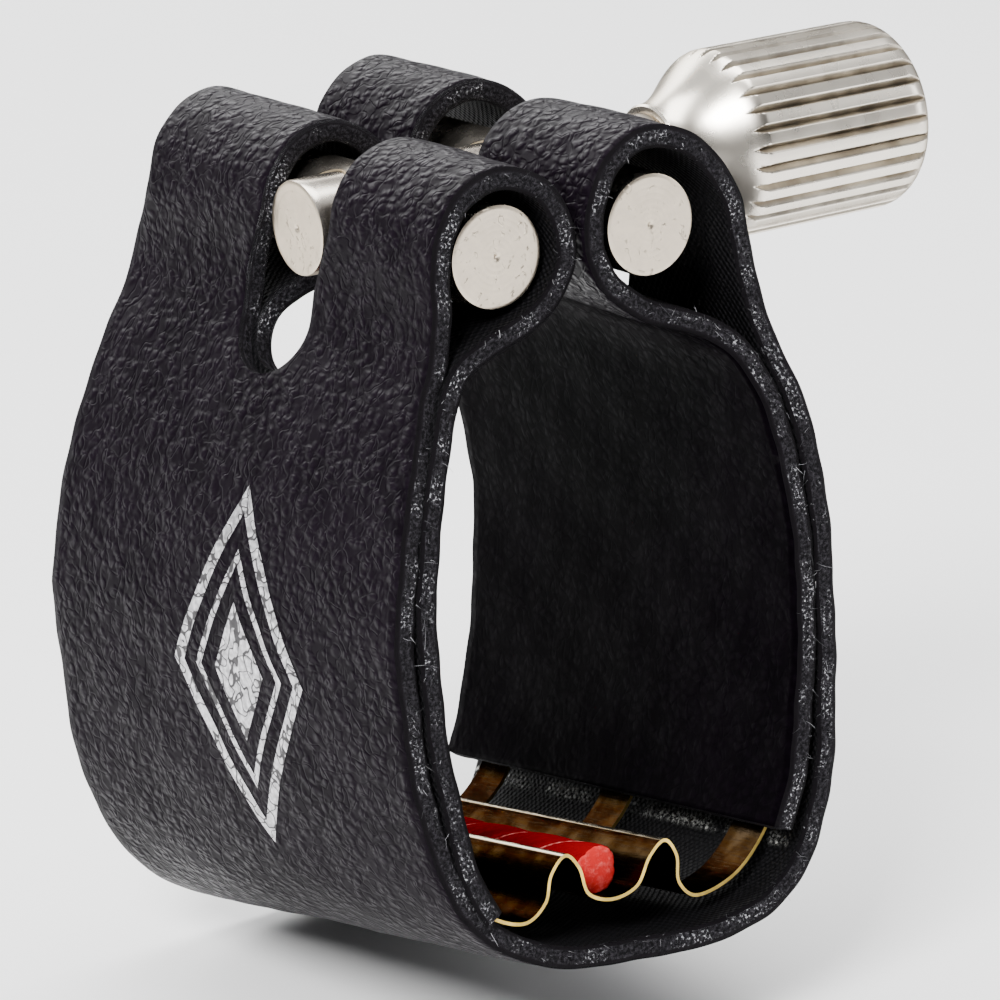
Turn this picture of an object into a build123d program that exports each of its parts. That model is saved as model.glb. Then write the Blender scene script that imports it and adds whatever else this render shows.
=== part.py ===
"""Saxophone ligature: a folded leather strap, two barrels, a thumb screw and a sprung plate.

Frame, in millimetres: the origin is on the mouthpiece axis, half way along the strap.
+X points along the screw to the knob, -Y is the narrow front edge, +Z points up to the rods.
"""
from build123d import *
from math import cos, hypot, radians, sin
import os

# Strap
layer = 1.1                   # one thickness of leather
double_wall = 2.2             # strap and folded-back lining together
front_y = -15.4               # front and rear edges, low on the strap
rear_y = 15.4
# The strap is shorter where it loops over the rods, and each edge flares below them:
# (edge at the loops, height where the flare starts, edge below, height where it ends)
front_flare = (-12.4, 11.5, front_y, -1.0)
rear_flare = (13.4, 18.3, rear_y, 13.8)
widening = 0.125              # growth of the band in X from the front edge to the rear edge
sinking = 0.185               # and downwards
taper_top = 13.0              # above this height the band doesn't grow
seam_gap = 0.3                # slit between the strap's base and its arms
seam_front = -10.85           # height of that slit, where the lining ends, at the front edge
slot_width = 6.6
slot_bottom = 10.4

# Outer face of the strap at the front edge, from the left loop round the bottom to the right
strap_line = [
    (-8.3, 18.0), (-8.5, 15.4), (-8.95, 13.1), (-10.3, 10.6), (-12.0, 6.9), (-13.1, 2.0),
    (-13.1, -2.8), (-12.4, -8.2), (-10.9, -12.3), (-8.4, -15.1), (-5.0, -16.8), (0.5, -17.6),
    (4.5, -17.8), (7.9, -17.0), (10.1, -14.9), (11.4, -10.8), (12.0, -6.0), (12.15, -1.0),
    (11.9, 4.0), (11.2, 8.6), (10.3, 13.2), (9.75, 15.6), (9.1, 18.4),
]
left_arm_span = slice(0, 10)
base_span = slice(7, 17)
right_arm_span = slice(14, 23)

# Barrels: a rod along Y with a boss across it along X
rod_radius = 2.5
rod_length = 23.6
rod_x = 4.4
rod_z = 17.5
rod_chamfer = 0.2
boss_radius = 2.35
left_boss_end = -8.0
right_boss_end = 12.7
boss_gap = 0.2                # from the middle plane to each inner boss
left_loop_radius = 4.1
right_loop_radius = 4.5
right_loop_shift = 0.45       # the right loop is looser than the left
left_loop_bore = 2.56
right_loop_bore = 2.85

# Thumb screw
thread_radius = 1.5
tapped_radius = 1.55
clearance_radius = 1.7
tapped_end = -7.0
shank_end = -6.7
neck_start = 12.75
neck_radius = 2.7
flare_end = 17.9
knob_radius = 4.9
knob_straight_end = 26.6
knob_end = 28.8
flute_count = 30
flute_depth = 0.35
flute_size = 0.72             # side of the square that cuts each flute with its corner
flute_start = 17.6
flute_end = 27.3

# Plate and cord, drawn in a plane that leans with the bottom of the strap
lean = 7.0
plate_centre = (-0.75, -15.2)
plate_front = -13.4
plate_length = 27.4
sheet = 0.35
ridge_x = 2.95
ridge_top = 3.1
valley_x = 5.0
channel_floor = 0.5
right_finger_tip = (9.5, 4.5)
left_finger_tip = (-9.05, 2.7)  # lower than the right ones, under the higher left seam
window_x = 5.6                # windows between the fingers start here
finger_width = 2.7
cord_radius = 1.28
cord_front = -11.8
cord_length = 25.0


def grown(x, z, y):
    """A point of the front outline, moved to where it lies at distance y along the band."""
    share = (y - front_y) / (rear_y - front_y)
    reach = min(1.0, max(0.0, (taper_top - z) / taper_top))
    low = min(z, taper_top)
    return x * (1 + widening * share * reach), z - (taper_top - low) * sinking * share


def inward(line, depth):
    """The same outline, moved inwards by a depth."""
    moved = []
    for i, (x, z) in enumerate(line):
        before = line[max(i - 1, 0)]
        after = line[min(i + 1, len(line) - 1)]
        run = hypot(after[0] - before[0], after[1] - before[1])
        moved.append((x - depth * (after[1] - before[1]) / run,
                      z + depth * (after[0] - before[0]) / run))
    return moved


def wall_face(span, thickness, y):
    """One cross-section of the strap's wall."""
    outer = [grown(x, z, y) for x, z in strap_line[span]]
    inner = inward(outer, thickness)
    with BuildSketch(Plane.XZ.offset(-y)) as section:
        with BuildLine():
            Spline(*outer)
            Line(outer[-1], inner[-1])
            Spline(*inner)
            Line(inner[0], outer[0])
        make_face()
    return section.sketch


def seam_plane(offset):
    """The slanted plane of the slit between base and arms, moved up by an offset."""
    rear_height = grown(0, seam_front, rear_y)[1]
    slope = (rear_height - seam_front) / (rear_y - front_y)
    middle = (seam_front + rear_height) / 2
    return Plane(origin=(0, 0, middle + offset), x_dir=(1, 0, 0), z_dir=(0, -slope, 1))


def edge_outline():
    """The strap's outline seen along X: shorter at the loops, flared lower down."""
    top, bottom = rod_z + 8, -30
    with BuildSketch(Plane.YZ) as outline:
        with BuildLine():
            for loop_edge, flare_top, low_edge, flare_bottom in (front_flare, rear_flare):
                Line((loop_edge, top), (loop_edge, flare_top))
                Spline((loop_edge, flare_top), (low_edge, flare_bottom),
                       tangents=((0, -1), (0, -1)))
                Line((low_edge, flare_bottom), (low_edge, bottom))
            Line((front_flare[0], top), (rear_flare[0], top))
            Line((front_y, bottom), (rear_y, bottom))
        make_face()
    return outline.sketch


def plate_plane(y):
    """A plane across the plate, leaning with the strap's bottom and sinking towards the rear."""
    x, z = plate_centre
    drop = (taper_top - z) * sinking * (y - front_y) / (rear_y - front_y)
    return Plane(origin=(x, y, z - drop), x_dir=(cos(radians(lean)), 0, -sin(radians(lean))),
                 z_dir=(0, -1, 0))


plate_sink = (taper_top - plate_centre[1]) * sinking / (rear_y - front_y)
along_plate = (0, 1, -plate_sink)
stations = (front_y - 0.8, rear_y + 0.8)
os.makedirs("parts", exist_ok=True)

# Leather strap: the bottom, a single layer
with BuildPart() as strap_base:
    loft(sections=[wall_face(base_span, layer, y) for y in stations], ruled=True)
    extrude(edge_outline(), amount=40, both=True, mode=Mode.INTERSECT)
    split(bisect_by=seam_plane(-seam_gap / 2), keep=Keep.BOTTOM)
strap_base.part.label = "strap_base"
export_step(strap_base.part, "parts/strap_base.step")

# Leather strap: each arm is the double wall with its two loops, parted by a slot for the boss
arms = [
    ("strap_left_arm", left_arm_span, (-rod_x, left_loop_radius), (-rod_x, left_loop_bore), -1),
    ("strap_right_arm", right_arm_span, (rod_x + right_loop_shift, right_loop_radius),
     (rod_x + (right_loop_bore - rod_radius) / 2, right_loop_bore), 1),
]
for name, span, loop, bore, side in arms:
    with BuildPart() as strap_arm:
        loft(sections=[wall_face(span, double_wall, y) for y in stations], ruled=True)
        with BuildSketch(Plane.XZ):
            with Locations((loop[0], rod_z)):
                Circle(loop[1])
        extrude(amount=rear_y, both=True)
        extrude(edge_outline(), amount=40, both=True, mode=Mode.INTERSECT)
        with BuildSketch(Plane.XZ):
            with Locations((bore[0], rod_z)):
                Circle(bore[1])
        extrude(amount=rear_y, both=True, mode=Mode.SUBTRACT)
        with BuildSketch(Plane.YZ):
            with Locations((0, slot_bottom + slot_width / 2)):
                Circle(slot_width / 2)
            with Locations((0, slot_bottom + slot_width / 2 + 10)):
                Rectangle(slot_width, 20)
        extrude(amount=side * 25, mode=Mode.SUBTRACT)
        split(bisect_by=seam_plane(seam_gap / 2), keep=Keep.TOP)
    strap_arm.part.label = name
    export_step(strap_arm.part, f"parts/{name}.step")

# Sprung plate: a sheet pressed into two ridges and a channel, with three fingers on each side
half_plate = [(valley_x + 2.4, 0.75), (valley_x, 0.0), (ridge_x + 0.95, 0.9),
              (ridge_x + 0.7, 2.3), (ridge_x, ridge_top), (ridge_x - 0.75, 2.45), (1.5, 1.0)]
plate_line = ([right_finger_tip, (9.05, 2.7)] + half_plate + [(0, channel_floor)]
              + [(-x, z) for x, z in reversed(half_plate)] + [left_finger_tip])
plate_underside = inward(plate_line, sheet)

with BuildPart() as contact_plate:
    with BuildSketch(plate_plane(plate_front)):
        with BuildLine():
            Spline(*plate_line)
            Line(plate_line[-1], plate_underside[-1])
            Spline(*plate_underside)
            Line(plate_underside[0], plate_line[0])
        make_face()
    extrude(amount=plate_length, dir=along_plate)
    window = (plate_length - 3 * finger_width) / 2
    first_window = plate_front + finger_width + window / 2
    with BuildSketch(Plane.XY.offset(-30)):
        for side in (1, -1):
            for row in (0, 1):
                middle = first_window + row * (window + finger_width)
                with Locations((plate_centre[0] + side * (window_x + 5), middle)):
                    Rectangle(10, window)
    extrude(amount=30, mode=Mode.SUBTRACT)
contact_plate.part.label = "contact_plate"
export_step(contact_plate.part, "parts/contact_plate.step")

# Twisted cord lying in the plate's channel
with BuildPart() as cord_strip:
    with BuildSketch(plate_plane(cord_front)):
        with Locations((0, channel_floor + cord_radius + 0.1)):
            Circle(cord_radius)
    extrude(amount=cord_length, dir=along_plate)
cord_strip.part.label = "cord_strip"
export_step(cord_strip.part, "parts/cord_strip.step")

# Rods, each drilled across for the screw
for name, x, hole in (("left_rod", -rod_x, tapped_radius), ("right_rod", rod_x, clearance_radius)):
    with BuildPart() as rod:
        with BuildSketch(Plane.XZ):
            with Locations((x, rod_z)):
                Circle(rod_radius)
        extrude(amount=rod_length / 2, both=True)
        chamfer(rod.edges().filter_by(GeomType.CIRCLE), rod_chamfer)
        with BuildSketch(Plane.YZ.offset(x)):
            with Locations((0, rod_z)):
                Circle(hole)
        extrude(amount=2 * rod_radius, both=True, mode=Mode.SUBTRACT)
    rod.part.label = name
    export_step(rod.part, f"parts/{name}.step")

# Bosses: stubs of a tube across each rod, saddle-cut and soldered to it
bosses = [
    ("left_outer_boss", left_boss_end, -rod_x, -rod_x, tapped_end, tapped_radius),
    ("left_inner_boss", -rod_x, -boss_gap, -rod_x, -rod_x, tapped_radius),
    ("right_inner_boss", boss_gap, rod_x, rod_x, boss_gap, clearance_radius),
    ("right_outer_boss", rod_x, right_boss_end, rod_x, rod_x, clearance_radius),
]
for name, start, end, rod_at, hole_from, hole in bosses:
    with BuildPart() as boss:
        with BuildSketch(Plane.YZ.offset(start)):
            with Locations((0, rod_z)):
                Circle(boss_radius)
        extrude(amount=end - start)
        with BuildSketch(Plane.XZ):
            with Locations((rod_at, rod_z)):
                Circle(rod_radius)
        extrude(amount=rod_length, both=True, mode=Mode.SUBTRACT)
        with BuildSketch(Plane.YZ.offset(hole_from)):
            with Locations((0, rod_z)):
                Circle(hole)
        extrude(amount=end - hole_from, mode=Mode.SUBTRACT)
    boss.part.label = name
    export_step(boss.part, f"parts/{name}.step")

# Thumb screw: a shank soldered into a fluted knob
with BuildPart() as screw_shank:
    with BuildSketch(Plane.YZ.offset(shank_end)):
        with Locations((0, rod_z)):
            Circle(thread_radius)
    extrude(amount=flare_end - shank_end)
    chamfer(screw_shank.edges().sort_by(Axis.X)[0], 0.3)
screw_shank.part.label = "screw_shank"
export_step(screw_shank.part, "parts/screw_shank.step")

with BuildPart() as thumb_knob:
    with BuildSketch(Plane.XZ):
        with BuildLine():
            Line((neck_start, rod_z), (neck_start, rod_z + neck_radius))
            Spline((neck_start, rod_z + neck_radius), (flare_end, rod_z + knob_radius),
                   tangents=((1, 0), (1, 0.25)))
            Line((flare_end, rod_z + knob_radius), (knob_straight_end, rod_z + knob_radius))
            Spline((knob_straight_end, rod_z + knob_radius), (knob_end, rod_z),
                   tangents=((1, 0), (0, -1)), tangent_scalars=(0.9, 1.6))
            Line((knob_end, rod_z), (neck_start, rod_z))
        make_face()
    revolve(axis=Axis((0, 0, rod_z), (1, 0, 0)))
    with BuildSketch(Plane.YZ.offset(flute_start)):
        with Locations((0, rod_z)):
            with PolarLocations(knob_radius + flute_depth / 2, flute_count):
                Rectangle(flute_size, flute_size, rotation=45)
    extrude(amount=flute_end - flute_start, mode=Mode.SUBTRACT)
    with BuildSketch(Plane.YZ.offset(neck_start)):
        with Locations((0, rod_z)):
            Circle(thread_radius)
    extrude(amount=flare_end - neck_start, mode=Mode.SUBTRACT)
thumb_knob.part.label = "thumb_knob"
export_step(thumb_knob.part, "parts/thumb_knob.step")
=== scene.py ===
"""Looks for the saxophone ligature: leather strap, barrels, thumb screw, sprung plate and cord.

Lengths are worked out in millimetres in the row frame and turned into metres when a mesh is made.
Only the floor's size and the lights are given in metres.
+X points along the screw to the knob, -Y is the front edge, +Z points up to the rods.
"""

from math import cos, pi, radians, sin

import bmesh
import bpy
import numpy as np
from mathutils import Matrix, Vector


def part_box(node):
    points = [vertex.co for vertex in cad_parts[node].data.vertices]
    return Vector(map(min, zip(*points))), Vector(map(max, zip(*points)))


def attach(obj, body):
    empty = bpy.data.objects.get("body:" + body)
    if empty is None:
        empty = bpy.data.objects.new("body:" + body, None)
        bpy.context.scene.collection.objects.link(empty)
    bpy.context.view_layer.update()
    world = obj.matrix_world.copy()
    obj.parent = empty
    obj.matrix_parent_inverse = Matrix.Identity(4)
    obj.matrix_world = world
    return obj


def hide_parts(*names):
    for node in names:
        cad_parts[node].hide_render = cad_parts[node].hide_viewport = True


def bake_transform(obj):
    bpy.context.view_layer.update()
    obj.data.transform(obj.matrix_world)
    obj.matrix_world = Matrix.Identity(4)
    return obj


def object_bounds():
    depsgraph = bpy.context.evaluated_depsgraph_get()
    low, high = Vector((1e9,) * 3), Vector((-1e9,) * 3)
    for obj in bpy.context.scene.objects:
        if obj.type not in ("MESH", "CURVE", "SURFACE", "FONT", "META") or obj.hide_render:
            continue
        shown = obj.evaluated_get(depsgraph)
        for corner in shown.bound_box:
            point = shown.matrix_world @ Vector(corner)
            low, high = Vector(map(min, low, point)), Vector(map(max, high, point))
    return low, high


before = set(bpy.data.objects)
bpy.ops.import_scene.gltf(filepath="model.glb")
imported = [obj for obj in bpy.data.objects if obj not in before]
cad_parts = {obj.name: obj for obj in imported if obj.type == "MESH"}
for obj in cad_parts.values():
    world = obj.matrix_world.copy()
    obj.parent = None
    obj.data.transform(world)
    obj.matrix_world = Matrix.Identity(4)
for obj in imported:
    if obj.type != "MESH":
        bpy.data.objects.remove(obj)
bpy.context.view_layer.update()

MM = 0.001
rng = np.random.default_rng(7)


def node_box(name):
    """Lowest and highest corner of a CAD node, in millimetres."""
    low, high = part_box(name)
    return np.array(low) / MM, np.array(high) / MM


rod_low, rod_high = node_box("left_rod")
right_low, right_high = node_box("right_rod")
base_low, base_high = node_box("strap_base")
knob_low, knob_high = node_box("thumb_knob")
shank_low = node_box("screw_shank")[0]
plate_low, plate_high = node_box("contact_plate")
cord_low, cord_high = node_box("cord_strip")

rod_radius = (rod_high[0] - rod_low[0]) / 2
rod_half_length = (rod_high[1] - rod_low[1]) / 2
rod_x = (right_low[0] + right_high[0]) / 2
rod_z = (rod_low[2] + rod_high[2]) / 2
front_y, rear_y = base_low[1], base_high[1]

# Strap dimensions
LAYER = 1.1
FRONT_LOOP_EDGE = -12.4
REAR_LOOP_EDGE = {1: 13.4, -1: 11.7}      # left and right half
WIDENING, SINKING = 0.125, 0.185          # shares by which the band grows to the rear
TAPER_TOP = 13.0                          # the height up to which it grows
SLOT_RADIUS, SLOT_BOTTOM = 3.05, 10.8
LINING_SLOT_BOTTOM = {1: 10.3, -1: 11.6}
FRONT_FLARE, FLARE_REACH = 2.75, 3.2      # the front edge moves out below the loops
REAR_EDGE = 15.2                          # the rear edge, below the loops
LINING_TOP = 13.2                         # where the smooth face turns into the lining
SPAN_STEPS = 24                           # points on the curve for each point drawn
ROW_STEP = 0.25
COLUMNS = 26
RIM_STEPS = 6
FIBRES_PER_EDGE = 260
# The last slot is the darker leather that paints shade on the inside of the loops
SKIN, CUT, BACKING, FIBRE, SHADED_LINING = range(5)    # places of the strap's materials

# The smooth face of the leather at the front edge: up the outside of the left half, over the
# rod and down inside as the lining
LEFT_PATH = [
    (-5.0, -16.8), (-8.4, -15.1), (-10.9, -12.3), (-12.4, -8.2), (-13.1, -2.8), (-13.1, 2.0),
    (-12.0, 6.9), (-10.3, 10.6), (-8.95, 13.1), (-8.5, 15.4), (-8.5, 17.5), (-8.0, 19.6),
    (-6.5, 21.3), (-4.4, 21.9), (-2.3, 21.2), (-0.9, 19.6), (-0.35, 17.4), (-0.85, 15.6),
    (-2.2, 14.2), (-3.9, 13.4), (-5.5, 12.9), (-6.9, 12.2), (-7.9, 11.0), (-8.6, 9.8),
    (-9.4, 8.2), (-10.1, 6.2), (-10.65, 3.6), (-10.8, 0.6), (-10.75, -2.7), (-10.45, -5.7),
    (-10.05, -8.4), (-9.4, -10.9), (-8.5, -12.9),
]
MIDDLE = (0.5, -17.6)
RIGHT_PATH = [
    (4.5, -17.8), (7.9, -17.0), (10.1, -14.9), (11.4, -10.8), (12.0, -6.0), (12.15, -1.0),
    (11.9, 4.0), (11.2, 8.6), (10.4, 12.6), (9.9, 15.4), (9.4, 18.1), (8.1, 20.3),
    (6.2, 21.9), (4.2, 22.4), (2.3, 21.9), (0.9, 20.6), (0.2, 18.7), (0.25, 16.8),
    (0.9, 15.2), (2.0, 14.0), (3.5, 13.0), (5.1, 12.4), (6.5, 11.8), (7.7, 10.8),
    (8.5, 9.3), (8.95, 7.6), (9.35, 5.5), (9.7, 2.5), (9.85, -0.6), (9.7, -3.6),
    (9.3, -7.4), (8.7, -10.4), (7.75, -12.8),
]


def catmull_rom(points, per_span):
    """A smooth curve through all the points, with centripetal knots."""
    p = np.array(points, float)
    p = np.vstack([2 * p[0] - p[1], p, 2 * p[-1] - p[-2]])
    out = []
    for i in range(1, len(p) - 2):
        t = [0.0]
        for a, b in zip(p[i - 1:i + 2], p[i:i + 3]):
            t.append(t[-1] + np.linalg.norm(b - a) ** 0.5)
        for u in np.linspace(t[1], t[2], per_span, endpoint=False):
            a1 = (t[1] - u) / (t[1] - t[0]) * p[i - 1] + (u - t[0]) / (t[1] - t[0]) * p[i]
            a2 = (t[2] - u) / (t[2] - t[1]) * p[i] + (u - t[1]) / (t[2] - t[1]) * p[i + 1]
            a3 = (t[3] - u) / (t[3] - t[2]) * p[i + 1] + (u - t[2]) / (t[3] - t[2]) * p[i + 2]
            b1 = (t[2] - u) / (t[2] - t[0]) * a1 + (u - t[0]) / (t[2] - t[0]) * a2
            b2 = (t[3] - u) / (t[3] - t[1]) * a2 + (u - t[1]) / (t[3] - t[1]) * a3
            out.append((t[2] - u) / (t[2] - t[1]) * b1 + (u - t[1]) / (t[2] - t[1]) * b2)
    out.append(p[-2])
    return np.array(out)


def arc_lengths(curve):
    return np.r_[0, np.cumsum(np.linalg.norm(np.diff(curve, axis=0), axis=1))]


# The whole strip as one curve. Its length is counted from the middle of the bottom,
# negative to the right and positive to the left.
strip = catmull_rom(RIGHT_PATH[::-1] + [MIDDLE] + LEFT_PATH, SPAN_STEPS)
strip_s = arc_lengths(strip)
strip_s -= strip_s[SPAN_STEPS * len(RIGHT_PATH)]


def strip_at(s):
    return np.interp(s, strip_s, strip[:, 0]), np.interp(s, strip_s, strip[:, 1])


def smooth(value):
    value = np.clip(value, 0, 1)
    return value * value * (3 - 2 * value)


def edges_at(s):
    """Front and rear edge of the strip at a place along it; both flare below the loops."""
    z = strip_at(s)[1]
    below = 0.8 * np.log1p(np.exp((11.5 - z) / 0.8))
    front = FRONT_LOOP_EDGE - FRONT_FLARE * (1 - np.exp(-below / FLARE_REACH))
    front = front - 0.3 * smooth((-4 - z) / 8)
    loop_edge = np.where(s > 0, REAR_LOOP_EDGE[1], REAR_LOOP_EDGE[-1])
    rear = loop_edge + (REAR_EDGE - loop_edge) * smooth((18.3 - z) / 4.5)
    rear = rear + 0.5 * smooth((-3 - z) / 8)
    waver = 0.03 * np.sin(1.1 * s) + 0.03 * np.sin(2.7 * s + 1)
    return front - waver, rear + waver


def grown(x, z, y):
    """The band grows from the front edge to the rear edge."""
    share = (y - front_y) / (rear_y - front_y)
    reach = np.clip((TAPER_TOP - z) / TAPER_TOP, 0, 1)
    low = np.minimum(z, TAPER_TOP)
    return x * (1 + WIDENING * share * reach), z - (TAPER_TOP - low) * SINKING * share


def skin_points(s, y):
    x, z = strip_at(s)
    x, z = grown(x, z, y)
    return np.stack([x, y + 0 * x, z], axis=-1)


def unit(vectors):
    return vectors / np.linalg.norm(vectors, axis=-1, keepdims=True)


def skin_normals(s, y):
    """Unit normals of the smooth face, pointing out of the leather."""
    step = 0.15
    along = skin_points(s + step, y) - skin_points(s - step, y)
    across = skin_points(s, y + step) - skin_points(s, y - step)
    return unit(np.cross(along, across))


def undulation(s, y):
    """Soft unevenness of the leather, in millimetres."""
    return (0.04 * np.sin(0.42 * s + 0.31 * y + 1.0) + 0.025 * np.sin(0.93 * s - 0.57 * y)
            + 0.012 * np.sin(1.9 * s + 0.8 * y + 2.0) + 0.012 * np.sin(0.7 * s + 2.1 * y))


def crossing(low, high, height):
    """The place between two others where the strip passes a height."""
    s = np.linspace(low, high, 2000)
    z = strip_at(s)[1]
    return s[np.argmin(abs(z - height))]


def loop_top(side):
    s = np.linspace(0, strip_s[-1] if side > 0 else strip_s[0], 3000)
    return s[np.argmax(strip_at(s)[1])]


def slot_ends(side):
    top = loop_top(side)
    end = strip_s[-1] if side > 0 else strip_s[0]
    return crossing(0, top, SLOT_BOTTOM), crossing(top, end, LINING_SLOT_BOTTOM[side])


def slot_half_width(s, ends):
    """Half the slot's width along the strip: straight sides and round ends."""
    inside = np.minimum(np.abs(s - ends[0]), np.abs(s - ends[1]))
    between = (s - ends[0]) * (s - ends[1]) < 0
    depth = np.clip(SLOT_RADIUS - inside, 0, SLOT_RADIUS)
    return np.where(between, np.sqrt(np.maximum(SLOT_RADIUS ** 2 - depth ** 2, 0)), 0.0)


def slot_middle(s, side):
    """The left slot wanders to the rear as it goes down."""
    z = strip_at(s)[1]
    return (-0.6 + 1.6 * smooth((18.5 - z) / 4)) if side > 0 else 0 * z


def row_places(side):
    """Places of the mesh's rows: even, and closer together round the ends of the slot."""
    end = strip_s[-1] if side > 0 else strip_s[0]
    first, last = slot_ends(side)
    turn = SLOT_RADIUS * (1 - np.cos(np.linspace(0, pi / 2, 15)))
    round_first = first + side * turn
    round_last = last - side * turn[::-1]
    stretches = [(0, first), (round_first[-1], round_last[0]), (last, end)]
    even = [np.linspace(a, b, max(3, int(abs(b - a) / ROW_STEP))) for a, b in stretches]
    return np.concatenate([even[0][:-1], round_first[:-1], even[1][:-1], round_last[:-1],
                           even[2]])


def link(name, data):
    """An object in the scene for a mesh, light or camera."""
    obj = bpy.data.objects.new(name, data)
    bpy.context.scene.collection.objects.link(obj)
    return obj


def new_object(name, vertices, faces, uvs, face_materials, materials):
    """A mesh object in metres from millimetre points, with one UV per vertex."""
    mesh = bpy.data.meshes.new(name)
    mesh.from_pydata((np.asarray(vertices) * MM).tolist(), [], faces)
    layer = mesh.uv_layers.new(name="UVMap")
    loops = np.empty(len(mesh.loops), int)
    mesh.loops.foreach_get("vertex_index", loops)
    layer.data.foreach_set("uv", np.asarray(uvs, float)[loops].ravel())
    if face_materials is not None:
        mesh.polygons.foreach_set("material_index", face_materials)
    for material in materials:
        mesh.materials.append(material)
    mesh.update()
    return link(name, mesh)


def finish_mesh(obj, sharp_angle):
    """Consistent normals, smooth shading, and sharp edges above an angle."""
    bm = bmesh.new()
    bm.from_mesh(obj.data)
    bmesh.ops.recalc_face_normals(bm, faces=bm.faces)
    bm.to_mesh(obj.data)
    bm.free()
    obj.data.shade_smooth()
    obj.data.set_sharp_from_angle(angle=radians(sharp_angle))


# Materials

def add(tree, kind, settings=None, inputs=None):
    """A shader node; an input is either a value or another node's output."""
    node = tree.nodes.new(kind)
    for key, value in (settings or {}).items():
        setattr(node, key, value)
    for key, value in (inputs or {}).items():
        if isinstance(value, bpy.types.NodeSocket):
            tree.links.new(value, node.inputs[key])
        else:
            node.inputs[key].default_value = value
    return node


def new_material(name, roughness=0.5, metallic=0.0, specular=0.5):
    material = bpy.data.materials.new(name)
    material.use_nodes = True
    tree = material.node_tree
    shader = tree.nodes["Principled BSDF"]
    shader.inputs["Roughness"].default_value = roughness
    shader.inputs["Metallic"].default_value = metallic
    shader.inputs["Specular IOR Level"].default_value = specular
    return material, tree, shader


def mapped(tree, scale=(1, 1, 1), source="UV"):
    coordinates = add(tree, "ShaderNodeTexCoord").outputs[source]
    return add(tree, "ShaderNodeMapping", None,
               {"Vector": coordinates, "Scale": scale}).outputs["Vector"]


def axes(tree, vector):
    """The outputs X, Y and Z of a vector."""
    return add(tree, "ShaderNodeSeparateXYZ", None, {"Vector": vector}).outputs


def math(tree, operation, a, b=0.0):
    return add(tree, "ShaderNodeMath", {"operation": operation}, {0: a, 1: b}).outputs[0]


def spread(tree, value, low, high, to_low=0.0, to_high=1.0):
    node = add(tree, "ShaderNodeMapRange", {"interpolation_type": "SMOOTHSTEP"},
               {"Value": value, "From Min": low, "From Max": high,
                "To Min": to_low, "To Max": to_high})
    return node.outputs["Result"]


def mix_colour(tree, share, a, b):
    node = add(tree, "ShaderNodeMix", {"data_type": "RGBA"}, {"Factor": share})
    for socket, value in ((node.inputs[6], a), (node.inputs[7], b)):
        if isinstance(value, bpy.types.NodeSocket):
            tree.links.new(value, socket)
        else:
            socket.default_value = (*value, 1)
    return node.outputs[2]


def noise(tree, vector, scale, detail, roughness=0.55):
    return add(tree, "ShaderNodeTexNoise", None,
               {"Vector": vector, "Scale": scale, "Detail": detail,
                "Roughness": roughness}).outputs["Fac"]


def bump(tree, shader, height, distance, strength=1.0):
    node = add(tree, "ShaderNodeBump", None,
               {"Height": height, "Distance": distance * MM, "Strength": strength})
    tree.links.new(node.outputs["Normal"], shader.inputs["Normal"])


def grain_height(tree):
    """Leather grain: small soft beads, parted by fine creases that wander along the strap.

    Gives the height, the beads alone and the open ground between creases.
    """
    flat = mapped(tree, (1.2, 0.82, 1.0))
    drift = add(tree, "ShaderNodeTexNoise", None, {"Vector": flat, "Scale": 1.2, "Detail": 1.0})
    moved = add(tree, "ShaderNodeVectorMath", {"operation": "MULTIPLY_ADD"},
                {0: drift.outputs["Color"], 1: (0.44, 0.44, 0.0), 2: flat}).outputs[0]
    cells = add(tree, "ShaderNodeTexVoronoi", {"feature": "SMOOTH_F1"},
                {"Vector": moved, "Scale": 2.05, "Randomness": 1.0,
                 "Smoothness": 0.35}).outputs["Distance"]
    beads = spread(tree, cells, 0.12, 0.72, 1.0, 0.0)
    lengthwise = noise(tree, mapped(tree, (0.7, 0.9, 1.0)), 0.95, 1.5, 0.45)
    crosswise = noise(tree, moved, 0.95, 1.0, 0.4)
    ground = math(tree, "MULTIPLY", crease_ground(tree, lengthwise, 0.06),
                  crease_ground(tree, crosswise, 0.05))
    swell = noise(tree, mapped(tree, (0.5, 1.0, 1.0)), 0.9, 1.0)
    total = math(tree, "MULTIPLY", beads, 0.42)
    for part, share in ((ground, 0.18), (swell, 0.36)):
        total = math(tree, "ADD", total, math(tree, "MULTIPLY", part, share))
    return total, beads, ground


def crease_ground(tree, field, width):
    """1 on open ground, 0 in the thin creases along the middle level of a noise field."""
    distance = math(tree, "ABSOLUTE", math(tree, "SUBTRACT", field, 0.5))
    return spread(tree, distance, 0.0, width)


def leather_material(name, specular, shade, depth):
    """Near-black leather: shade scales its colours, depth is the grain's height."""
    material, tree, shader = new_material(name, specular=specular)
    height, beads, _ = grain_height(tree)
    tint = noise(tree, mapped(tree, (0.3, 0.3, 1.0)), 0.6, 2.0)
    low, high, rubbed = [tuple(shade * c for c in colour) for colour in (
        (0.0044, 0.0026, 0.0050), (0.0096, 0.0062, 0.0106), (0.0122, 0.0082, 0.0132))]
    # The creases between beads take the darker colour and the bead tops the lighter one: the
    # grain's tone with painted shade in the creases
    base = mix_colour(tree, beads, low, high)
    worn = mix_colour(tree, spread(tree, tint, 0.35, 0.75, 0.0, 0.5), base, rubbed)
    tree.links.new(worn, shader.inputs["Base Color"])
    tree.links.new(spread(tree, beads, 0.0, 1.0, 0.44, 0.31), shader.inputs["Roughness"])
    bump(tree, shader, height, depth)
    return material


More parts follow.
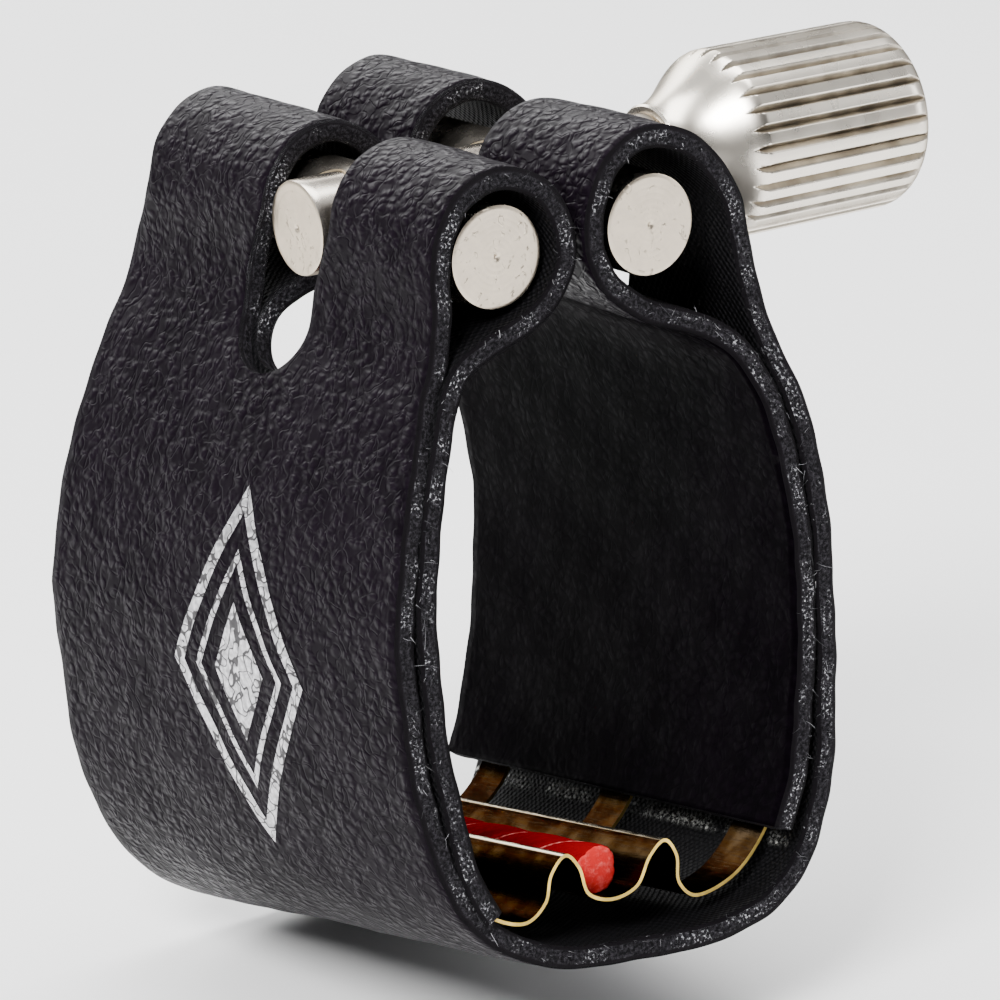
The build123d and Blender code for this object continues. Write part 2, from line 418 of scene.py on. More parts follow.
def rim_material():
    """The cut edge: a thin skin, then matted grey fibre with pale specks, partly pale fibre and
    partly painted glints.
    """
    material, tree, shader = new_material("leather_cut_edge", roughness=0.7, specular=0.06)
    fine = mapped(tree)
    across = axes(tree, add(tree, "ShaderNodeTexCoord").outputs["UV"])["Y"]
    matted = noise(tree, fine, 5.0, 6.0, 0.75)
    specks = noise(tree, fine, 6.0, 4.0, 0.7)
    patches = noise(tree, fine, 0.40, 3.0, 0.6)
    fibre = mix_colour(tree, spread(tree, matted, 0.42, 0.7), (0.004, 0.0036, 0.0045),
                       (0.05, 0.046, 0.054))
    # Pale specks: partly pale fibre, partly painted glints on the fibres
    pale = math(tree, "MULTIPLY", spread(tree, specks, 0.54, 0.66),
                spread(tree, patches, 0.47, 0.64))
    fibre_specks_and_glints = mix_colour(tree, pale, fibre, (0.72, 0.72, 0.76))
    skin = spread(tree, across, 0.2, 0.3)
    colour = mix_colour(tree, skin, (0.008, 0.0065, 0.0085), fibre_specks_and_glints)
    tree.links.new(colour, shader.inputs["Base Color"])
    bump(tree, shader, matted, 0.30)
    return material


GLUE_LINE = 10.9              # along the strip, where the lining's end is glued down
WEAVE_LENGTH, WEAVE_WIDTH = 0.5, 0.42     # the weave repeats after these lengths


def backing_material():
    """Fine black woven cloth on the leather's rough side, with a crust of dry glue."""
    material, tree, shader = new_material("woven_backing", roughness=0.6, specular=0.06)
    weave_turns = mapped(tree, (2 * pi / WEAVE_LENGTH, 2 * pi / WEAVE_WIDTH, 1.0))
    over = math(tree, "SINE", axes(tree, weave_turns)["X"])
    under = math(tree, "SINE", axes(tree, weave_turns)["Y"])
    weave = spread(tree, math(tree, "MULTIPLY", over, under), -0.7, 0.9)
    even = mapped(tree)
    lint = noise(tree, even, 7.0, 3.0)
    height = math(tree, "ADD", weave, lint)
    colour = mix_colour(tree, weave, (0.0015, 0.0015, 0.0018), (0.0065, 0.0060, 0.0070))
    from_middle = math(tree, "ABSOLUTE", axes(tree, even)["X"])
    off_line = math(tree, "ABSOLUTE", math(tree, "SUBTRACT", from_middle, GLUE_LINE))
    crumbs = noise(tree, even, 4.0, 5.0, 0.75)
    runs = noise(tree, mapped(tree, (0.2, 1, 1)), 0.5, 2.0)
    glue = math(tree, "MULTIPLY", spread(tree, off_line, 0.15, 0.55, 1.0, 0.0),
                math(tree, "MULTIPLY", spread(tree, crumbs, 0.47, 0.60),
                     spread(tree, runs, 0.40, 0.55)))
    tree.links.new(mix_colour(tree, glue, colour, (0.55, 0.55, 0.52)),
                   shader.inputs["Base Color"])
    bump(tree, shader, height, 0.12)
    return material


def fibre_material():
    material, tree, shader = new_material("loose_fibre", roughness=0.6)
    place = add(tree, "ShaderNodeTexCoord").outputs["Object"]
    shade = noise(tree, place, 900.0, 1.0)
    tree.links.new(mix_colour(tree, spread(tree, shade, 0.4, 0.7), (0.05, 0.05, 0.055),
                              (0.5, 0.5, 0.53)), shader.inputs["Base Color"])
    return material


def foil_material():
    """Silver foil printed on the grain, split along the creases."""
    material, tree, shader = new_material("silver_foil")
    height, _, ground = grain_height(tree)
    flakes = noise(tree, mapped(tree, (0.8, 1.4, 1.0)), 2.6, 4.0, 0.7)
    held = math(tree, "ADD", ground, math(tree, "MULTIPLY", flakes, 0.6))
    whole = spread(tree, held, 0.42, 0.62)
    tone = noise(tree, mapped(tree), 3.0, 3.0)
    silver = mix_colour(tree, spread(tree, tone, 0.35, 0.7), (0.34, 0.335, 0.345),
                        (0.66, 0.65, 0.67))
    tree.links.new(mix_colour(tree, whole, (0.02, 0.018, 0.02), silver),
                   shader.inputs["Base Color"])
    tree.links.new(math(tree, "MULTIPLY", whole, 0.75), shader.inputs["Metallic"])
    tree.links.new(spread(tree, whole, 0.0, 1.0, 0.6, 0.38), shader.inputs["Roughness"])
    bump(tree, shader, height, 0.15)
    return material


NICKEL_GLANCING = (0.12, 0.11, 0.10)      # darkens its slanting reflections


def nickel_material(name, colour, dark, roughness, line_scale, line_depth, scratches=0.0):
    """Satin nickel with fine turning marks; U in the meshes' UVs runs across those marks."""
    material, tree, shader = new_material(name, metallic=1.0)
    shader.inputs["Specular Tint"].default_value = (*NICKEL_GLANCING, 1)
    turned = noise(tree, mapped(tree, (line_scale, 0.15, 1.0)), 1.0, 3.0, 0.6)
    if scratches:
        place = mapped(tree, (1000, 1000, 700), "Object")
        nicks = add(tree, "ShaderNodeTexNoise", None,
                    {"Vector": place, "Scale": 1.6, "Detail": 3.0, "Distortion": 2.5})
        marks = spread(tree, nicks.outputs["Fac"], 0.62, 0.70)
        turned = math(tree, "ADD", turned, math(tree, "MULTIPLY", marks, scratches))
    cloud = noise(tree, mapped(tree, (0.6, 0.6, 1.0)), 1.0, 3.0)
    tree.links.new(mix_colour(tree, spread(tree, cloud, 0.3, 0.7), dark, colour),
                   shader.inputs["Base Color"])
    tree.links.new(spread(tree, cloud, 0.3, 0.75, roughness - 0.02, roughness + 0.03),
                   shader.inputs["Roughness"])
    bump(tree, shader, turned, line_depth, 0.6)
    return material


def gilt_material(name, colour, roughness, glancing):
    """Gilt brass; the glancing colour keeps its slanting reflections from turning white."""
    material, tree, shader = new_material(name, metallic=1.0)
    shader.inputs["Specular Tint"].default_value = (*glancing, 1)
    cloud = noise(tree, mapped(tree), 0.7, 3.0)
    scuffs = noise(tree, mapped(tree, (6.0, 0.5, 1.0)), 1.5, 4.0, 0.7)
    darker = tuple(c * 0.62 for c in colour)
    tree.links.new(mix_colour(tree, spread(tree, cloud, 0.35, 0.7), darker, colour),
                   shader.inputs["Base Color"])
    tree.links.new(spread(tree, scuffs, 0.4, 0.75, roughness, roughness + 0.2),
                   shader.inputs["Roughness"])
    bump(tree, shader, scuffs, 0.015, 0.5)
    return material


CORD_STRANDS = 3
CORD_WIND = -1.57             # radians for each millimetre: the threads follow the strands


def cord_material(name, deep, light, spiral):
    """Waxed red cord: pale threads wind round its side, and its cut end has none."""
    material, tree, shader = new_material(name, roughness=0.4, specular=0.0)
    place = axes(tree, mapped(tree))
    wind = math(tree, "ADD", math(tree, "MULTIPLY", place["X"], CORD_STRANDS * 2 * pi),
                math(tree, "MULTIPLY", place["Y"], CORD_WIND))
    thread = spread(tree, math(tree, "SINE", wind), 0.975, 1.0)
    fuzz = noise(tree, mapped(tree, (8.0, 1.6, 1.0)), 2.0, 4.0, 0.7) if spiral \
        else noise(tree, mapped(tree, (1000, 1000, 1000), "Object"), 2.2, 4.0, 0.7)
    light_share = math(tree, "MULTIPLY", thread, spread(tree, fuzz, 0.35, 0.6)) if spiral \
        else spread(tree, fuzz, 0.45, 0.75, 0.0, 0.8)
    tree.links.new(mix_colour(tree, light_share, deep, light), shader.inputs["Base Color"])
    bump(tree, shader, fuzz, 0.10, 0.8)
    return material


leather = leather_material("leather_skin", 0.026, 0.60, 0.15)
# The lining is the skin's leather made darker, shade 0.24 against 0.60: painted shade for the
# inside of the loops
lining = leather_material("leather_lining_painted_shade", 0.005, 0.24, 0.03)
rim = rim_material()
backing = backing_material()
fibre = fibre_material()
foil = foil_material()
nickel_end = nickel_material("nickel_turned_end", (0.665, 0.575, 0.455), (0.58, 0.50, 0.395),
                             0.33, 7.0, 0.010, scratches=5.0)
nickel_side = nickel_material("nickel_satin", (0.74, 0.68, 0.60), (0.56, 0.51, 0.45),
                              0.26, 5.0, 0.01)
# The knob's nickel is paler than the rods' as painted light on its lands, which reflect the dark
# side of the studio
brightened_nickel_knob = nickel_material("nickel_brushed_knob", (0.84, 0.78, 0.68),
                              (0.80, 0.745, 0.65), 0.28, 4.0, 0.003)
# A darker copy of the knob's nickel for the flute walls: painted shade in the grooves
nickel_groove_painted_shade = nickel_material("nickel_groove_painted_shade", (0.60, 0.545, 0.46), (0.36, 0.32, 0.265),
                                0.34, 7.0, 0.014)
steel = nickel_material("steel_thread", (0.62, 0.60, 0.57), (0.42, 0.40, 0.38), 0.3, 3.0, 0.01)
gilt = gilt_material("gilt_sheet", (0.036, 0.028, 0.021), 0.17, (0.19, 0.175, 0.16))
gilt_edge = gilt_material("gilt_cut_edge", (0.86, 0.60, 0.15), 0.3, (1.0, 0.85, 0.45))
red_cord = cord_material("red_cord_side", (0.20, 0.0013, 0.0040), (0.75, 0.20, 0.18), True)
red_end = cord_material("red_cord_cut_end", (0.58, 0.022, 0.022), (0.78, 0.12, 0.11), False)


# Leather strap

def rim_noise(count, steps):
    """Matted roughness of a cut edge, smoothed along the edge."""
    rough = rng.normal(0, 1, (count, steps))
    return (np.roll(rough, 1, 0) + 2 * rough + np.roll(rough, -1, 0)) / 4


def add_fibre(points, uvs, faces, root, out):
    """A loose bent fibre with three sides, which stands on a cut edge."""
    root = root + out * 0.06
    aim = out * rng.uniform(0.1, 0.5) + rng.normal(0, 0.55, 3)
    reach = rng.uniform(0.15, 0.5)
    curl = rng.normal(0, 0.12, 3)
    thick = rng.uniform(0.008, 0.018)
    base = len(points)
    steps = 4
    for k in range(steps):
        t = k / (steps - 1)
        centre = root + aim * reach * t + curl * t * t
        for angle in (0, 2.1, 4.2):
            spoke = np.array([cos(angle), sin(angle), 0.3 * cos(angle)])
            points.append((centre + spoke * thick * (1 - 0.7 * t)).tolist())
            uvs.append([t, angle])
    for k in range(steps - 1):
        for j in range(3):
            a, b = base + 3 * k + j, base + 3 * k + (j + 1) % 3
            faces.append([a, b, b + 3, a + 3])
    faces.append([base, base + 2, base + 1])
    last = base + 3 * (steps - 1)
    faces.append([last, last + 1, last + 2])


def strap_half(side, name):
    """One half of the leather strip, from the middle of the bottom to the end of its lining."""
    rows = row_places(side)
    ends = slot_ends(side)
    half_slot = slot_half_width(rows, ends)
    half_slot[half_slot < 1e-3] = 0
    front_edge, rear_edge = edges_at(rows)
    slot_y = slot_middle(rows, side)
    v = np.linspace(0, 1, COLUMNS)
    s = rows[:, None] + 0 * v
    slot_front_y, slot_rear_y = slot_y - half_slot, slot_y + half_slot
    y_front = front_edge[:, None] + v * (slot_front_y - front_edge)[:, None]
    y_rear = slot_rear_y[:, None] + v * (rear_edge - slot_rear_y)[:, None]
    y = np.hstack([y_front, y_rear])
    s = np.hstack([s, s])
    normals = skin_normals(s, y)
    skin = skin_points(s, y) + normals * undulation(s, y)[..., None]
    back = skin - normals * LAYER
    count, width = s.shape
    middle = COLUMNS

    points, uvs = [], []

    def store(p, uv):
        points.extend(p.reshape(-1, 3).tolist())
        uvs.extend(uv.reshape(-1, 2).tolist())
        return np.arange(len(points) - p.reshape(-1, 3).shape[0], len(points))

    uv = np.stack([s, y], axis=-1)
    skin_id = store(skin, uv).reshape(count, width)
    back_id = store(back, uv).reshape(count, width)
    joined = half_slot == 0
    for ids in (skin_id, back_id):
        ids[joined, middle] = ids[joined, middle - 1]

    def edge_ids(column, inner_column):
        """Vertices across the cut edge that runs down one column."""
        out = unit(skin[:, column] - skin[:, inner_column])
        open_edge = np.ones(count) if column in (0, width - 1) else (~joined).astype(float)
        t = np.arange(1, RIM_STEPS) / RIM_STEPS
        bulge = 0.16 * np.sqrt(1 - (2 * t - 1) ** 2) - 0.03
        push = (bulge + 0.035 * rim_noise(count, RIM_STEPS - 1)) * open_edge[:, None]
        p = (skin[:, column, None] * (1 - t)[None, :, None] + back[:, column, None]
             * t[None, :, None] + out[:, None] * push[..., None])
        uv_edge = np.stack([rows[:, None] + 0 * t, LAYER * t + 0 * rows[:, None]], axis=-1)
        between = store(p, uv_edge).reshape(count, RIM_STEPS - 1)
        return np.hstack([skin_id[:, [column]], between, back_id[:, [column]]])

    front = edge_ids(0, 1)
    rear = edge_ids(width - 1, width - 2)
    slot_front = edge_ids(middle - 1, middle - 2)
    slot_rear = edge_ids(middle, middle + 1)
    slot_rear[joined] = slot_front[joined]

    def end_ids(row, inner_row):
        """Vertices across the strip's end, from the smooth face to the backing."""
        columns = [c for c in range(width) if c != middle]
        out = unit(skin[row, columns] - skin[inner_row, columns])
        t = np.arange(1, RIM_STEPS) / RIM_STEPS
        is_cut = 1.0 if row != 0 else 0.0
        push = (0.12 * np.sqrt(1 - (2 * t - 1) ** 2) + 0.03 * rim_noise(len(columns),
                RIM_STEPS - 1)) * is_cut
        p = (skin[row, columns][:, None] * (1 - t)[None, :, None]
             + back[row, columns][:, None] * t[None, :, None] + out[:, None] * push[..., None])
        uv_end = np.stack([y[row, columns][:, None] + 0 * t,
                           LAYER * t + 0 * y[row, columns][:, None]], axis=-1)
        between = store(p, uv_end).reshape(len(columns), RIM_STEPS - 1)
        ids = np.hstack([skin_id[row, columns][:, None], between,
                         back_id[row, columns][:, None]])
        ids[0] = front[row]
        ids[-1] = rear[row]
        return ids

    faces, slots = [], []
    lining_start = crossing(loop_top(side), rows[-1], LINING_TOP)
    lining_row = np.searchsorted(side * rows, side * lining_start)

    def quads(grid, material, keep=None):
        a, b = grid[:-1, :-1], grid[1:, :-1]
        c, d = grid[1:, 1:], grid[:-1, 1:]
        stack = np.stack([a, b, c, d], axis=-1)
        if keep is not None:
            stack = stack[keep]
        for quad in stack.reshape(-1, 4).tolist():
            corners = list(dict.fromkeys(quad))
            if len(corners) > 2:
                faces.append(corners)
                slots.append(material)

    for ids, material in ((skin_id, SKIN), (back_id, BACKING)):
        quads(ids[:, :middle], material)
        quads(ids[:, middle:], material)
    # Smooth faces past the lining row take the darker leather: painted shade inside the loops
    for face, slot in enumerate(slots):
        if slot == SKIN and min(faces[face]) // width > lining_row:
            slots[face] = SHADED_LINING
    quads(front, CUT)
    quads(rear, CUT)
    in_slot = ~(joined[:-1] & joined[1:])
    quads(slot_front, CUT, in_slot)
    quads(slot_rear, CUT, in_slot)
    quads(end_ids(0, 1), BACKING)
    quads(end_ids(count - 1, count - 2), CUT)

    for column, inner in ((0, 1), (width - 1, width - 2), (middle - 1, middle - 2)):
        out = unit(skin[:, column] - skin[:, inner])
        allowed = np.arange(count) if column != middle - 1 else np.flatnonzero(~joined)
        for row in rng.choice(allowed, FIBRES_PER_EDGE):
            share = rng.uniform(0.25, 1.0)
            root = skin[row, column] * (1 - share) + back[row, column] * share
            add_fibre(points, uvs, faces, root, out[row])
    slots.extend([FIBRE] * (len(faces) - len(slots)))

    used = sorted({i for face in faces for i in face})
    renumber = {old: new for new, old in enumerate(used)}
    faces = [[renumber[i] for i in face] for face in faces]
    points = np.array(points)[used]
    uvs = np.array(uvs)[used]
    obj = new_object(name, points, faces, uvs, slots, (leather, rim, backing, fibre, lining))
    finish_mesh(obj, 75)
    return obj


def flex(obj):
    """Bakes the piece's placement into its mesh."""
    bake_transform(obj)


strap_left = strap_half(1, "leather_strap_left_half")
strap_right = strap_half(-1, "leather_strap_right_half")


# Foil ornament on the left wall: a solid lozenge inside two lozenge frames

FOIL_Y, FOIL_Z = -1.6, -2.0               # its middle on the left wall
FOIL_LIFT = 0.02


def foil_piece(name):
    centre_s = crossing(0, loop_top(1), FOIL_Z)
    points, faces = [], []
    steps, rings = 46, 5

    def band(outer, inner):
        """A closed ribbon between two lozenges given as (half width, half height)."""
        first = len(points)
        corners = [(0, 1), (1, 0), (0, -1), (-1, 0)]
        around = []
        for (ax, ay), (bx, by) in zip(corners, corners[1:] + corners[:1]):
            for t in np.linspace(0, 1, steps, endpoint=False):
                around.append((ax + (bx - ax) * t, ay + (by - ay) * t))
        for k in range(rings):
            w = outer[0] + (inner[0] - outer[0]) * k / (rings - 1)
            h = outer[1] + (inner[1] - outer[1]) * k / (rings - 1)
            for ax, ay in around:
                points.append((centre_s + ay * h, FOIL_Y + ax * w))
        n = len(around)
        for k in range(rings - 1):
            for i in range(n):
                a = first + k * n + i
                b = first + k * n + (i + 1) % n
                faces.append([a, b, b + n, a + n])

    band((5.6, 8.6), (4.75, 7.35))
    band((3.7, 5.7), (3.25, 5.0))
    band((2.1, 3.3), (0.02, 0.03))
    flat = np.array(points)
    s, y = flat[:, 0], flat[:, 1]
    normals = skin_normals(s, y)
    lift = undulation(s, y) + FOIL_LIFT
    p = skin_points(s, y) + normals * lift[:, None]
    obj = new_object(name, p, faces, flat, None, (foil,))
    obj.data.shade_smooth()
    return obj


emblem = foil_piece("foil_ornament")


# Turned metal

def lathe(name, profile, centre, materials, along="X", around=96, face_material=None,
          radius_at=None):
    """A solid of revolution; profile is (distance along the axis, radius) pairs.

    radius_at(distance, radius, angle) may shape the section, for flutes or a thread.
    """
    profile = np.array(profile, float)
    length = arc_lengths(profile)
    angles = np.linspace(0, 2 * pi, around, endpoint=False)
    d = profile[:, 0][:, None] + 0 * angles
    r = profile[:, 1][:, None] + 0 * angles
    if radius_at is not None:
        r = radius_at(d, r, angles[None, :] + 0 * r)
    a = angles[None, :] + 0 * r
    if along == "X":
        p = np.stack([d, r * np.cos(a), r * np.sin(a)], axis=-1)
    else:
        p = np.stack([r * np.cos(a), d, r * np.sin(a)], axis=-1)
    p = p + np.array(centre)
    uv = np.stack([length[:, None] + 0 * a, a * 3], axis=-1)
    n, m = d.shape
    ids = np.arange(n * m).reshape(n, m)
    faces, slots = [], []
    for i in range(n - 1):
        for j in range(m):
            k = (j + 1) % m
            faces.append([ids[i, j], ids[i, k], ids[i + 1, k], ids[i + 1, j]])
            slots.append(face_material(i, j) if face_material else 0)
    points = p.reshape(-1, 3).tolist()
    uvs = uv.reshape(-1, 2).tolist()
    for row, order in ((0, 1), (n - 1, -1)):
        hub = p[row].mean(axis=0)
        points.append(hub.tolist())
        uvs.append([length[row], 0])
        for j in range(m):
            k = (j + 1) % m
            faces.append([ids[row, j], ids[row, k], len(points) - 1][::order])
            slots.append(face_material(min(row, n - 2), j) if face_material else 0)
    obj = new_object(name, points, [[int(i) for i in f] for f in faces], uvs, slots, materials)
    finish_mesh(obj, 35)
    return obj


def turned_end(radius, bevel=0.18, rings=26):
    """From the centre dimple to the bevel: (depth below the face, radius) pairs."""
    out = []
    for t in np.linspace(0.02, 1, rings):
        r = t * (radius - bevel)
        dimple = 0.13 * max(0, 1 - r / 0.16)
        ripple = 0.0022 * sin(r * 21) + 0.0015 * sin(r * 47)
        out.append((dimple + ripple * (r > 0.2), r))
    out.append((bevel * 0.25, radius - bevel * 0.3))
    out.append((bevel, radius))
    return out


def rod(name, x):
    end = turned_end(rod_radius)
    first = [(-rod_half_length + depth, r) for depth, r in end]
    barrel = [(y, rod_radius) for y in np.linspace(-rod_half_length + 0.6,
                                                   rod_half_length - 0.6, 24)]
    last = [(rod_half_length - depth, r) for depth, r in reversed(end)]
    profile = first + barrel + last
    edge_rows = len(first) - 2

    def which(i, _):
        return 1 if i < edge_rows or i >= len(profile) - 1 - edge_rows else 0

    return lathe(name, profile, centre=(x, 0, rod_z), along="Y",
                 materials=(nickel_side, nickel_end), face_material=which)


def solder_ring(name, x, radius, side, material):
    """The thin bead where a boss meets its rod."""
    bm = bmesh.new()
    steps, sections, bead = 96, 8, 0.09
    rings = []
    for i in range(steps):
        a = 2 * pi * i / steps
        y, z = radius * cos(a), radius * sin(a)
        dx = side * (max(rod_radius ** 2 - z * z, 0) ** 0.5)
        centre = Vector((x + dx, y, rod_z + z))
        out = Vector((0, cos(a), sin(a)))
        push = Vector((side, 0, 0))
        ring = []
        for k in range(sections):
            b = 2 * pi * k / sections
            ring.append(bm.verts.new((centre + out * bead * cos(b) + push * bead * sin(b)) * MM))
        rings.append(ring)
    for i in range(steps):
        after = rings[(i + 1) % steps]
        for k in range(sections):
            n = (k + 1) % sections
            bm.faces.new((rings[i][k], after[k], after[n], rings[i][n]))
    bmesh.ops.recalc_face_normals(bm, faces=bm.faces)
    mesh = bpy.data.meshes.new(name)
    bm.to_mesh(mesh)
    bm.free()
    mesh.materials.append(material)
    mesh.shade_smooth()
    return link(name, mesh)


BOSS_RADIUS = 2.35
TAPPED_HOLE, CLEAR_HOLE = 1.55, 1.7       # radii
left_end = node_box("left_outer_boss")[0][0]
left_inner = node_box("left_inner_boss")[1][0]
right_inner = node_box("right_inner_boss")[0][0]
right_end = node_box("right_outer_boss")[1][0]


def boss(name, start, end, hole, closed):
    """A boss along X, bored at its end, and closed or bored at its start."""
    bored = [(1.2, hole), (0.15, hole), (0, hole + 0.12), (0, BOSS_RADIUS - 0.14),
             (0.05, BOSS_RADIUS - 0.04), (0.14, BOSS_RADIUS)]
    face = turned_end(BOSS_RADIUS, bevel=0.14, rings=22) if closed else bored
    first = [(start + depth, r) for depth, r in face]
    side = [(x, BOSS_RADIUS) for x in np.linspace(start + 0.5, end - 0.5, 20)]
    last = [(end - depth, r) for depth, r in reversed(bored)]
    profile = first + side + last
    edge_rows = len(first) - 2

    def which(i, _):
        return 1 if i < edge_rows and closed else 0

    return lathe(name, profile, centre=(0, 0, rod_z), materials=(nickel_side, nickel_end),
                 face_material=which)


left_rod = rod("left_rod_bar", -rod_x)
right_rod = rod("right_rod_bar", rod_x)
left_boss = boss("left_cross_boss", left_end, left_inner, TAPPED_HOLE, closed=True)
right_boss = boss("right_cross_boss", right_inner, right_end, CLEAR_HOLE, closed=False)
solder = gilt_material("solder_bead", (0.62, 0.50, 0.33), 0.4, (1.0, 0.95, 0.85))
beads = []
for label, x, body in (("left", -rod_x, "left_barrel"), ("right", rod_x, "right_barrel")):
    for side, place in ((-1, "outer"), (1, "inner")):
        bead = solder_ring(f"{label}_{place}_solder", x, BOSS_RADIUS, side, solder)
        beads.append((bead, body))

# Thumb screw
KNOB_RADIUS = (knob_high[2] - knob_low[2]) / 2
NECK_RADIUS, NECK_BEVEL = 2.7, 0.16
FLARE_END = 17.1
STRAIGHT_END = 26.1
FLUTES = 30
FLUTE_DEPTH = 0.38
FLUTE_SHARE = 0.45            # share of the pitch that a flute takes
FLUTE_STEPS = 20              # mesh columns to a flute's pitch
KNOB_SHORTER = 0.5            # than in the CAD
neck_start, knob_end = knob_low[0], knob_high[0] - KNOB_SHORTER


def knob_profile():
    """Face of the neck, concave flare, straight grip and rounded end."""
    out = [(neck_start, 1.6), (neck_start, 2.3), (neck_start + 0.04, NECK_RADIUS - 0.1),
           (neck_start + NECK_BEVEL, NECK_RADIUS)]
    flare_start = neck_start + NECK_BEVEL
    for t in np.linspace(0.05, 1, 60):
        rise = t ** 1.9 * (1 - 0.33 * t ** 4) / 0.67
        out.append((flare_start + (FLARE_END - flare_start) * t,
                    NECK_RADIUS + (KNOB_RADIUS - NECK_RADIUS) * min(1, rise * 0.97 + 0.03 * t)))
    out += [(x, KNOB_RADIUS) for x in np.linspace(FLARE_END + 0.1, STRAIGHT_END, 60)]
    for t in np.linspace(0.03, 1, 60):
        a = t * pi / 2
        out.append((STRAIGHT_END + (knob_end - STRAIGHT_END) * sin(a) ** 0.95,
                    0.02 + (KNOB_RADIUS - 0.02) * max(0, 1 - (1 - cos(a)) ** 1.35)))
    return out


KNOB_PROFILE = knob_profile()


def fluted(_, radius, angle):
    """V-shaped flutes cut at one depth, so that they run out in points where the knob narrows."""
    pitch = 2 * pi / FLUTES
    from_middle = np.abs((angle / pitch) % 1 - 0.5) * 2
    vee = np.clip(1 - from_middle / FLUTE_SHARE, 0, 1)
    cut = np.where(vee > 0, KNOB_RADIUS - FLUTE_DEPTH * vee, np.inf)
    return np.minimum(radius, cut)


def in_groove(i, j):
    """1 for a face on the walls of a flute, which gets the darker nickel as painted shade, 0 for
    the other faces.
    """
    share = (j + 0.5) / FLUTE_STEPS % 1
    inside = abs(share - 0.5) * 2 < FLUTE_SHARE * 0.8
    depth_here = KNOB_PROFILE[i][1] - (KNOB_RADIUS - FLUTE_DEPTH)
    return 1 if inside and depth_here > 0.12 else 0


knob = lathe("fluted_thumb_knob", KNOB_PROFILE, centre=(0, 0, rod_z),
             around=FLUTES * FLUTE_STEPS, materials=(brightened_nickel_knob, nickel_groove_painted_shade),
             radius_at=fluted, face_material=in_groove)

PITCH = 0.5
SHANK_RADIUS, THREAD_DEPTH = 1.47, 0.29
THREAD_FLAT = 0.12            # share of the tooth that is flat at the crest, and at the root


def threaded(distance, radius, angle):
    """A helix with flat crests and roots, cut where the shank has its full width."""
    turn = (distance / PITCH - angle / (2 * pi)) % 1
    tooth = 1 - np.abs(2 * turn - 1)
    ridge = np.clip((tooth - THREAD_FLAT) / (1 - 2 * THREAD_FLAT), 0, 1)
    return radius - THREAD_DEPTH * (1 - ridge) * (radius > 1.3)


shank_profile = [(shank_low[0], 1.1), (shank_low[0] + 0.3, SHANK_RADIUS)]
shank_profile += [(x, SHANK_RADIUS)
                  for x in np.arange(shank_low[0] + 0.36, neck_start + 0.3, 0.06)]
shank = lathe("threaded_shank", shank_profile, centre=(0, 0, rod_z), around=48,
              materials=(steel,), radius_at=threaded)


# Sprung plate
LEAN = radians(7.0)
PLATE_CENTRE = (-0.75, -15.2)
SHEET = 0.17
FINGER = 2.7
WINDOW_X = 5.6
PLATE_ROW_STEP = 0.6
PLATE_SPAN_STEPS = 10         # mesh steps between two points of its line
CHANNEL_FLOOR = 0.5
RIDGE_X, RIDGE_TOP = 2.95, 3.1
HALF_PLATE = [(7.4, 0.75), (5.0, 0.0), (3.9, 0.9), (3.65, 2.3), (RIDGE_X, RIDGE_TOP),
              (2.2, 2.45), (1.5, 1.0)]
PLATE_LINE = ([(9.85, 5.4), (9.15, 2.9)] + HALF_PLATE + [(0, CHANNEL_FLOOR)]
              + [(-x, z) for x, z in reversed(HALF_PLATE)] + [(-9.15, 2.9), (-9.6, 4.4)])


def plate_point(x, z, y):
    """From the plate's own leaning section to the row frame."""
    share = (y - front_y) / (rear_y - front_y)
    widen = 1 + 0.8 * WIDENING * share * np.clip((np.abs(x) - 5) / 4, 0, 1)
    x = x * widen
    drop = (TAPER_TOP - PLATE_CENTRE[1]) * SINKING * share
    return np.array([PLATE_CENTRE[0] + x * cos(LEAN) + z * sin(LEAN), y,
                     PLATE_CENTRE[1] - drop - x * sin(LEAN) + z * cos(LEAN)])


def paint_crest_highlights(material):
    """Painted highlight: bright lines along the plate's two ridge crests, mixed into the base
    colour.
    """
    tree = material.node_tree
    target = tree.nodes["Principled BSDF"].inputs["Base Color"]
    length = arc_lengths(catmull_rom(PLATE_LINE, PLATE_SPAN_STEPS))
    along = axes(tree, mapped(tree))["X"]
    # rubbed is the mask of the painted highlight along the crests
    rubbed = 0.0
    for x in (RIDGE_X, -RIDGE_X):
        crest = length[PLATE_SPAN_STEPS * PLATE_LINE.index((x, RIDGE_TOP))]
        off_crest = math(tree, "ABSOLUTE", math(tree, "SUBTRACT", along, crest))
        rubbed = math(tree, "MAXIMUM", rubbed, spread(tree, off_crest, 0.05, 0.20, 1.0, 0.0))
    tree.links.new(mix_colour(tree, rubbed, target.links[0].from_socket, (0.80, 0.72, 0.58)),
                   target)


# Painted highlight along the plate's ridge crests
paint_crest_highlights(gilt)


